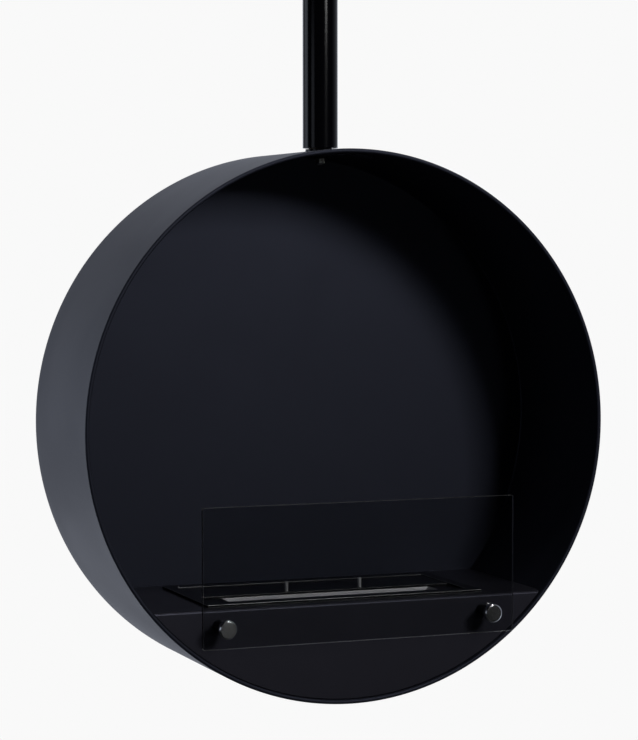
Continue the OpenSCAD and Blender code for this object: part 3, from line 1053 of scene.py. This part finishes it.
# ---- sub-assemblies


@dataclass
class DrumShell:
    """The rolled band, its back panel, the saddle in its top and the neck on it."""

    shop: Workshop
    wall: float = 3 * MM
    hem_wall: float = 3 * MM
    hem_depth: float = 20 * MM
    edge: float = 2.4 * MM
    seam: float = 0.25 * MM
    corner_bead: float = 1.5 * MM
    neck_bead: float = 1.1 * MM
    neck_ripples: int = 56
    neck_edge: float = 0.4 * MM
    saddle_edge: float = 0.5 * MM
    bronze_edge: float = 0.2 * MM
    segments: int = 384
    band: Extent = field(default_factory=lambda: Extent.of("shell_band"))

    @property
    def radius(self) -> float:
        """The drum's outer radius."""
        return self.band.size.z / 2

    @property
    def centre(self) -> Vector:
        """The centre of the drum's front rim."""
        return Vector((0, self.band.low.y, self.band.centre.z))

    def build(self) -> None:
        """Builds the shell's pieces."""
        self._band()
        self._back()
        self._top()

    def _band(self) -> None:
        """Rolls the band with its hem folded in at the front: the hem ends in a hairline seam."""
        outer, inner = self.radius, self.radius - self.wall
        hem, seam, depth = inner - self.hem_wall, self.seam, self.band.size.y
        corners = [
            (outer, 0, self.edge),
            (outer, depth, 2 * seam),
            (inner, depth, seam),
            (inner, self.hem_depth, 0),
            (inner + 2 * seam, self.hem_depth, 0),
            (inner + 2 * seam, self.hem_depth - seam, 0),
            (inner - seam, self.hem_depth - seam, 0),
            (hem, self.hem_depth - seam, 2 * seam),
            (hem, 0, self.edge),
        ]
        mesh = self.shop.turned(
            corners, Finish.DRUM, self.centre, Axis.BACK, self.segments, closed=True
        )
        self.shop.finish("drum_band", [mesh], Body.DRUM, Finish.DRUM, "shell_band")

    def _back(self) -> None:
        """Turns the back panel, with a hairline seam outside and a thin bead of weld inside."""
        box = Extent.of("back_panel")
        radius, thick = box.size.z / 2, box.size.y
        bead, seam = self.corner_bead, self.seam
        joint = radius - 0.1 * seam
        corners = [
            (0, 0, 0),
            (radius - bead, 0, bead),
            (joint, -bead, 0),
            (joint, thick - 2 * seam, 0),
            (radius - 2 * seam, thick, seam),
            (0, thick, 0),
        ]
        centre = (0, box.low.y, self.centre.z)
        mesh = self.shop.turned(corners, Finish.DRUM, centre, Axis.BACK, self.segments, steps=6)
        self.shop.finish("drum_back", [mesh], Body.DRUM, Finish.DRUM, "back_panel")

    def _top(self) -> None:
        """Builds the neck with its weld, the saddle with its seat and the bronze bearings."""
        shop, node = self.shop, "swivel_collar"
        sizes = {
            "Ring Radius": Extent.of(node).size.x / 2,
            "Bead Radius": self.neck_bead,
            "Ripples": self.neck_ripples,
            "Cylinder Curve": -0.5 / self.radius,
        }
        bead = shop.weld(self.band.high.z, Finish.POLE, sizes)
        neck = shop.softened(node, self.neck_edge)
        shop.finish("swivel_neck", [neck, bead], Body.DRUM, Finish.POLE, node)
        shop.soften(Body.DRUM, Finish.DRUM, self.saddle_edge, "top_saddle")
        # The bearings' bronze is darkened as painted shade.
        bearings = "swivel_bush", "upper_thrust_washer", "lower_thrust_washer"
        shop.soften(Body.DRUM, Finish.BRONZE, self.bronze_edge, *bearings)


@dataclass
class HearthTray:
    """The folded shelf and apron, and the cleats under it."""

    shop: Workshop
    edge: float = 0.4 * MM

    def build(self) -> None:
        """Builds the tray and its cleats."""
        cleats = "shelf_cleat_left", "shelf_cleat_right"
        self.shop.soften(Body.DRUM, Finish.TRAY, self.edge, "hearth_tray")
        self.shop.soften(Body.DRUM, Finish.DRUM, self.edge, *cleats)


@dataclass
class GlassScreen:
    """The pane in front of the apron, on its two standoffs."""

    shop: Workshop
    arris: float = 0.6 * MM
    cap_bevel: float = 2 * MM
    cap_face_round: float = 1 * MM
    cap_side_round: float = 0.8 * MM
    cap_foot: float = 0.2 * MM
    socket_radius: float = 4 * MM
    socket_depth: float = 5 * MM
    barrel_edge: float = 0.5 * MM
    gasket_edge: float = 0.15 * MM
    stud_edge: float = 0.4 * MM
    nut_chamfer: float = 0.8 * MM
    nut_turn: float = 30
    thread_pitch: float = 1.25 * MM

    def build(self) -> None:
        """Builds the pane, caps, barrels, gaskets, studs and nuts."""
        self._pane()
        for side in ("left", "right"):
            self._cap(f"glass_cap_{side}")
            barrel = f"standoff_barrel_{side}"
            self.shop.soften(Body.DRUM, Finish.BURNER, self.barrel_edge, barrel)
        self.shop.soften(Body.DRUM, Finish.GASKET, self.gasket_edge, "glass_gaskets")
        self._studs()

    def _pane(self) -> None:
        """Grinds the pane's arrises and level edges, and marks them so that they are dull."""
        mesh = self.shop.softened("glass_screen", self.arris)
        mark_faces(mesh, GROUND_EDGE, lambda normal: max(abs(normal.y), abs(normal.x)) < FACE_ON)
        self.shop.finish("glass_pane", [mesh], Body.DRUM, Finish.GLASS, "glass_screen")

    def _cap(self, node: str) -> None:
        """Turns a cap: a brushed face, a bevel with softened edges and a short plain side.

        Args:
            node: the cap's node.
        """
        box = Extent.of(node)
        radius, height, bevel = box.size.x / 2, box.size.y, self.cap_bevel
        corners = [
            (0, 0, 0),
            (radius - bevel, 0, self.cap_face_round),
            (radius, bevel, self.cap_side_round),
            (radius, height, self.cap_foot),
            (self.socket_radius, height, 0),
            (self.socket_radius, height - self.socket_depth, 0),
            (0, height - self.socket_depth, 0),
        ]
        centre = (box.centre.x, box.low.y, box.centre.z)
        mesh = self.shop.turned(corners, Finish.SATIN, centre, Axis.BACK, steps=6)
        self.shop.finish(
            node + "_turned", [mesh], Body.DRUM, Finish.SATIN, node, self.shop.faced
        )

    def _studs(self) -> None:
        """Builds the studs with their thread's end, and the nuts behind the apron."""
        shop = self.shop
        studs, nuts = Extent.of("standoff_studs"), Extent.of("standoff_nuts")
        radius, start = studs.size.z / 2, nuts.high.y
        reach = studs.size.x / 2 - radius
        sizes = {
            "Radius": radius,
            "Pitch": self.thread_pitch,
            "Length": studs.high.y - start - self.thread_pitch,
        }
        ridge = run(shop.threader, sizes | {"Finish": shop.materials[Finish.ZINC]})
        nut = hexagon(nuts.size.z, nuts.size.y, radius, self.nut_chamfer)
        turn = Matrix.Rotation(math.radians(self.nut_turn), 4, "Z")
        pieces, hexagons = [shop.softened("standoff_studs", self.stud_edge)], []
        for x in (-reach, reach):
            thread_foot, nut_foot = (
                Matrix.Translation((x, y, studs.centre.z)) @ Axis.BACK.value
                for y in (start, nuts.low.y)
            )
            pieces.append(placed(ridge, thread_foot))
            hexagons.append(placed(nut, nut_foot @ turn))
        zinc = Body.DRUM, Finish.ZINC
        shop.finish("standoff_studs_threaded", pieces, *zinc, "standoff_studs")
        shop.finish("standoff_nuts_chamfered", hexagons, *zinc, "standoff_nuts")


@dataclass
class BurnerInsert:
    """The drop-in burner: flange, box, deck, trough, fibre pad and perforated cover."""

    shop: Workshop
    rim: float = 0.7 * MM
    edge: float = 0.5 * MM
    deck_edge: float = 0.3 * MM
    fold: float = 0.9 * MM
    columns: int = 20
    rows: int = 3
    hole: float = 4 * MM
    felt_step: float = 3 * MM
    felt_layers: int = 10
    felt_swell: float = 0.8 * MM
    felt_sway: float = 0.32 * MM
    quilt_waves: tuple[float, float] = (190.0, 260.0)
    quilt_depth: float = 0.25
    quilt_level: float = 0.3
    sway_waves: float = 310.0

    def build(self) -> None:
        """Builds the burner's pieces."""
        shop = self.shop
        for name, edge in (("frame", self.rim), ("box", self.edge), ("deck", self.deck_edge)):
            shop.plate("burner_" + name, edge, Body.BURNER)
        shop.soften(Body.BURNER, Finish.SATIN, self.fold, "fuel_trough", material=shop.sheet)
        self._cover()
        self._pad()

    def _cover(self) -> None:
        """Punches the perforated cover of the pad."""
        box, sheet = Extent.of("burner_mesh"), self.shop.sheet
        values = {
            "Width": box.size.x,
            "Depth": box.size.y,
            "Thickness": box.size.z,
            "Columns": self.columns,
            "Rows": self.rows,
            "Pitch X": (box.size.x - 2 * self.hole) / self.columns,
            "Pitch Y": (box.size.y - self.hole) / self.rows,
            "Hole Radius": self.hole,
            "Finish": sheet,
        }
        mesh = run(self.shop.perforator, values)
        mesh.transform(Matrix.Translation((box.centre.x, box.centre.y, box.low.z)))
        self.shop.finish(
            "burner_cover", [mesh], Body.BURNER, Finish.SATIN, "burner_mesh", sheet
        )

    def _pad(self) -> None:
        """Forms the fibre pad: a felt block with a quilted, slightly swollen top and soft edges."""
        box, work = Extent.of("wool_pad"), cleaned("wool_pad")
        size, middle, swell = box.size, box.centre.y, self.felt_swell
        counts = int(size.x / self.felt_step), int(size.y / self.felt_step), self.felt_layers
        for axis, count in enumerate(counts):
            normal = Matrix.Identity(3)[axis]
            for i in range(1, count):
                spot = box.low.copy()
                spot[axis] += size[axis] * i / count
                everything = work.verts[:] + work.edges[:] + work.faces[:]
                bmesh.ops.bisect_plane(work, geom=everything, plane_co=spot, plane_no=normal)
        for vertex in work.verts:
            x, y, z = vertex.co
            crown = 1 - math.exp(-min(y - box.low.y, box.high.y - y) / (3 * swell))
            wave = math.sin(x * self.quilt_waves[0]) * math.cos(y * self.quilt_waves[1])
            sunk = self.quilt_level + self.quilt_depth * wave
            vertex.co.z -= swell * (z - box.low.z) / size.z * (1 - crown + sunk * crown)
            sway = self.felt_sway * math.sin(x * self.sway_waves)
            vertex.co.y += sway * (0.5 - abs(y - middle) / size.y)
        mesh = as_mesh(work, "pad")
        pad = self.shop.finish("fibre_pad", [mesh], Body.BURNER, Finish.WOOL, "wool_pad")


@dataclass
class BurnerLid:
    """The sliding lid and the two pins that it is pushed by."""

    shop: Workshop
    edge: float = 1.2 * MM
    tip: float = 0.8 * MM
    tip_drop: float = 0.48 * MM
    shank: float = 2 * MM
    foot_round: float = 0.2 * MM
    tip_round: float = 0.5 * MM
    pin_segments: int = 48

    def build(self) -> None:
        """Builds the lid and its pins."""
        self.shop.plate("burner_lid", self.edge, Body.LID)
        self._pins()

    def _pins(self) -> None:
        """Turns the pins: a shank in the lid, a plain barrel and a rounded tip."""
        pins, lid = Extent.of("lid_pins"), Extent.of("burner_lid")
        radius, thick = pins.size.y / 2, lid.size.z
        reach = pins.size.x / 2 - radius
        height = pins.high.z - lid.high.z
        corners = [
            (0, -thick, 0),
            (self.shank, -thick, 0),
            (self.shank, 0, 0),
            (radius, 0, self.foot_round),
            (radius, height - self.tip_drop, self.tip_round),
            (radius - self.tip, height, self.tip_round),
            (0, height, 0),
        ]
        turned = [
            self.shop.turned(corners, Finish.SATIN, foot, segments=self.pin_segments)
            for foot in [(x, pins.centre.y, lid.high.z) for x in (-reach, reach)]
        ]
        self.shop.finish("lid_pins_turned", turned, Body.LID, Finish.SATIN, "lid_pins")


@dataclass
class CeilingMount:
    """The ceiling plate, the pole and the bolts that hold them and carry the drum."""

    shop: Workshop
    edge: float = 0.5 * MM
    bolt_edge: float = 0.3 * MM
    washer_edge: float = 0.2 * MM
    spigot_wall: float = 2.5 * MM
    spigot_bead: float = 1.2 * MM
    bolt_radius: float = 4 * MM
    nut_across: float = 12.96 * MM
    nut_chamfer: float = 0.9 * MM
    dome_radius: float = 5.76 * MM
    dome_round: float = 2 * MM
    dome_edge: float = 0.6 * MM
    dome_segments: int = 48

    def build(self) -> None:
        """Builds the mount's pieces."""
        body, shop = Body.MOUNT, self.shop
        shop.soften(body, Finish.POLE, self.edge, "ceiling_plate")
        self._spigot()
        shop.soften(body, Finish.POLE, self.edge, "pole_tube")
        shop.soften(body, Finish.ZINC, self.washer_edge, "saddle_washers")
        shop.soften(body, Finish.ZINC, self.bolt_edge, "pole_bolts", "pole_bolt_nuts")
        shop.soften(body, Finish.PLAIN, self.bolt_edge, "pole_plug")
        shop.soften(body, Finish.ZINC, self.washer_edge, "swivel_washer")
        shop.soften(body, Finish.ZINC, self.bolt_edge, "swivel_bolt")
        self._dome_nut()

    def _spigot(self) -> None:
        """Welds the spigot under the plate."""
        node, plain = "ceiling_spigot", Finish.PLAIN
        box = Extent.of(node)
        ring = box.size.x / 2 - self.spigot_wall
        sizes = {"Ring Radius": ring, "Bead Radius": self.spigot_bead}
        bead = self.shop.weld(box.high.z, plain, sizes)
        stub = self.shop.softened(node, self.bolt_edge)
        self.shop.finish("spigot_welded", [stub, bead], Body.MOUNT, plain, node)

    def _dome_nut(self) -> None:
        """Builds the dome nut: a chamfered hexagon with a turned dome below it."""
        box, foot = Extent.of("swivel_nut"), Extent.of("swivel_bolt").low.z
        height, depth, radius = box.high.z - foot, foot - box.low.z, self.dome_radius
        nut = hexagon(self.nut_across, height, self.bolt_radius, self.nut_chamfer)
        nut.transform(Matrix.Translation((0, 0, foot)))
        corners = [
            (0, -depth, 0),
            (0.55 * radius, -0.86 * depth, self.dome_round),
            (radius, -0.15 * depth, self.dome_edge),
            (radius, 0.05 * depth, 0),
            (0, 0.05 * depth, 0),
        ]
        spot, segments = (0, 0, foot), self.dome_segments
        dome = self.shop.turned(corners, Finish.ZINC, spot, segments=segments)
        self.shop.finish("swivel_dome_nut", [nut, dome], Body.MOUNT, Finish.ZINC, "swivel_nut")


@dataclass
class Canopy:
    """The cover that slides up the pole to hide the ceiling plate."""

    shop: Workshop
    cup_edge: float = 0.3 * MM
    collar_edge: float = 0.6 * MM
    screw_edge: float = 0.2 * MM

    def build(self) -> None:
        """Builds the cup, its collar and the grub screws."""
        self.shop.soften(Body.CANOPY, Finish.POLE, self.cup_edge, "canopy_cup")
        self.shop.soften(Body.CANOPY, Finish.POLE, self.collar_edge, "canopy_collar")
        self.shop.soften(Body.CANOPY, Finish.ZINC, self.screw_edge, "canopy_screws")


# ---- the studio


def direction(azimuth: float, elevation: float) -> Vector:
    """Finds a direction from the drum.

    Args:
        azimuth: its angle from the front towards +X, in degrees.
        elevation: its angle above the level, in degrees.

    Returns:
        The direction.
    """
    turn, rise = math.radians(azimuth), math.radians(elevation)
    level = math.cos(rise)
    return Vector((math.sin(turn) * level, -math.cos(turn) * level, math.sin(rise)))


@dataclass(frozen=True)
class Softbox:
    """A square lamp with a soft face, aimed at the drum."""

    name: str
    azimuth: float
    elevation: float
    distance: float
    size: float
    strength: float
    tint: Colour = WHITE

    def hang(self, target: Vector) -> None:
        """Hangs the lamp.

        Args:
            target: the point that it is aimed at.
        """
        towards = direction(self.azimuth, self.elevation)
        data = bpy.data.lights.new(self.name, "AREA")
        data.shape = "SQUARE"
        data.size = self.size
        data.energy = self.strength
        data.color = self.tint
        lamp = linked(self.name, data)
        lamp.location = target + towards * self.distance
        lamp.rotation_mode = "QUATERNION"
        lamp.rotation_quaternion = towards.to_track_quat("Z", "Y")


@dataclass(frozen=True)
class Glow:
    """A soft bright patch of the room, as the object's gloss sees it."""

    azimuth: float
    elevation: float
    rim: float
    core: float
    strength: float

    def add(self, graph: Graph, look: Socket) -> Socket:
        """Adds the patch to the room.

        Args:
            graph: the room's graph.
            look: the output that gives the direction looked in.

        Returns:
            The output that gives the patch's brightness.
        """
        nearness = graph.dot(look, direction(self.azimuth, self.elevation))
        share = graph.spread(nearness, 0, self.strength, self.rim, self.core)
        share.node.interpolation_type = "SMOOTHSTEP"
        return share


@dataclass
class Studio:
    """The pale floor, the light and the camera."""

    camera_place: tuple[float, float, float] = (-1.30054, -3.29189, -0.83785)
    camera_turn: float = 21.525
    camera_fall: float = 3.001
    camera_roll: float = -0.046
    lens: float = 116.007
    sensor: float = 36
    floor_drop: float = 1.1
    floor_radius: float = 4.0
    floor_segments: int = 128
    floor_patches: float = 1.5
    floor_tones: tuple[Colour, Colour] = ((0.5, 0.5, 0.49), (0.55, 0.55, 0.55))
    floor_rough: tuple[float, float] = (0.7, 0.85)
    # Other rays see a dark floor that glows as painted light for the gloss, more away from the
    # camera.
    floor_bounce: Colour = (0.02, 0.02, 0.02)
    floor_white: float = 0.8
    floor_glow_near: float = 0.0
    floor_glow_far: float = 1.1
    floor_glow_fade: tuple[float, float] = (0.2, 2.4)
    white: float = 0.947
    room_tint: Colour = (0.81, 0.86, 0.98)
    lamps: tuple[Softbox, ...] = (
        Softbox("key", 19, 20.5, 4.0, 0.8, 33),
        Softbox("left_strip", -123, 5, 4.0, 1.8, 15, (0.78, 0.86, 1.0)),
        Softbox("left_card", -70, 3, 4.0, 1.4, 5, (0.8, 0.86, 1.0)),
        Softbox("low_card", 12, -3, 4.0, 0.3, 1.4),
        Softbox("top", 180, 70, 2.6, 2.4, 14),
        Softbox("glint", 45, 65, 3.0, 0.2, 5.5),
    )
    glows: tuple[Glow, ...] = (
        Glow(163, -18, 0.6, 1.0, 1.0),
        Glow(158.5, 14, 0.1, 0.6, 0.32),
        Glow(100, 0, 0.75, 0.95, 0.16),
    )

    def build(self) -> None:
        """Sets up the stage."""
        band = Extent.of("shell_band")
        self._floor(band.low.z - self.floor_drop)
        self._world()
        for lamp in self.lamps:
            lamp.hang(band.centre)
        self._camera()
        view = bpy.context.scene.view_settings
        view.view_transform = "Standard"
        view.look = "None"

    def _floor(self, height: float) -> None:
        """Lays a round pale floor in an uneven paint, glowing as painted light for the gloss.

        Args:
            height: its height.
        """
        work = bmesh.new()
        size = {"segments": self.floor_segments, "radius": self.floor_radius}
        bmesh.ops.create_circle(work, cap_ends=True, **size)
        mesh = as_mesh(work, "floor")
        mesh.transform(Matrix.Translation((0, 0, height)))
        coat = Coat("floor_paint")
        seen = coat.node("ShaderNodeLightPath").outputs["Is Camera Ray"]
        patches = coat.noise(coat.place, self.floor_patches, detail=3.0)
        depth = coat.dot(coat.place, direction(180 - self.camera_turn, 0))
        # The floor's glow of painted light for other rays, stronger away from the camera.
        gloss_glow = coat.spread(depth, self.floor_glow_near, self.floor_glow_far, *self.floor_glow_fade)
        coat.set({
            "Roughness": coat.spread(patches, *self.floor_rough),
            "Base Color": coat.blend(
                seen, self.floor_bounce, coat.blend(patches, *self.floor_tones)
            ),
            "Emission Color": coat.blend(seen, self.room_tint, WHITE),
            "Emission Strength": coat.choose(seen, gloss_glow, self.floor_white),
        })
        mesh.materials.append(coat.material)
        floor = linked("floor", mesh)

    def _world(self) -> None:
        """Lights the room: a white backdrop, and softer patches for the object's gloss."""
        world = bpy.data.worlds.new("studio")
        bpy.context.scene.world = world
        world.use_nodes = True
        world.node_tree.nodes.clear()
        graph = Graph(world.node_tree)
        look = graph.node("ShaderNodeTexCoord").outputs["Generated"]
        seen = graph.node("ShaderNodeLightPath").outputs["Is Camera Ray"]
        total, *others = [glow.add(graph, look) for glow in self.glows]
        for other in others:
            total = graph.math("ADD", total, other)
        tint = graph.blend(seen, self.room_tint, WHITE)
        inputs = {"Color": tint, "Strength": graph.choose(seen, total, self.white)}
        shade = graph.node("ShaderNodeBackground", inputs).outputs[0]
        graph.node("ShaderNodeOutputWorld", {"Surface": shade})

    def _camera(self) -> None:
        """Places the camera at the photograph's viewing angle."""
        ahead = -direction(-self.camera_turn, self.camera_fall)
        data = bpy.data.cameras.new("camera")
        data.lens = self.lens
        data.sensor_width = self.sensor
        camera = linked("camera", data)
        camera.location = self.camera_place
        camera.rotation_mode = "QUATERNION"
        roll = Quaternion((0, 0, 1), math.radians(self.camera_roll))
        camera.rotation_quaternion = ahead.to_track_quat("-Z", "Y") @ roll
        bpy.context.scene.camera = camera


def main() -> None:
    """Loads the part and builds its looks."""
    logging.basicConfig(level=logging.INFO, format="%(name)s: %(message)s")
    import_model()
    shop = Workshop()
    for assembly in (
        DrumShell(shop),
        HearthTray(shop),
        GlassScreen(shop),
        BurnerInsert(shop),
        BurnerLid(shop),
        CeilingMount(shop),
        Canopy(shop),
        Studio(),
    ):
        LOG.info("building %s", type(assembly).__name__)
        assembly.build()


if __name__ == "__main__":
    main()
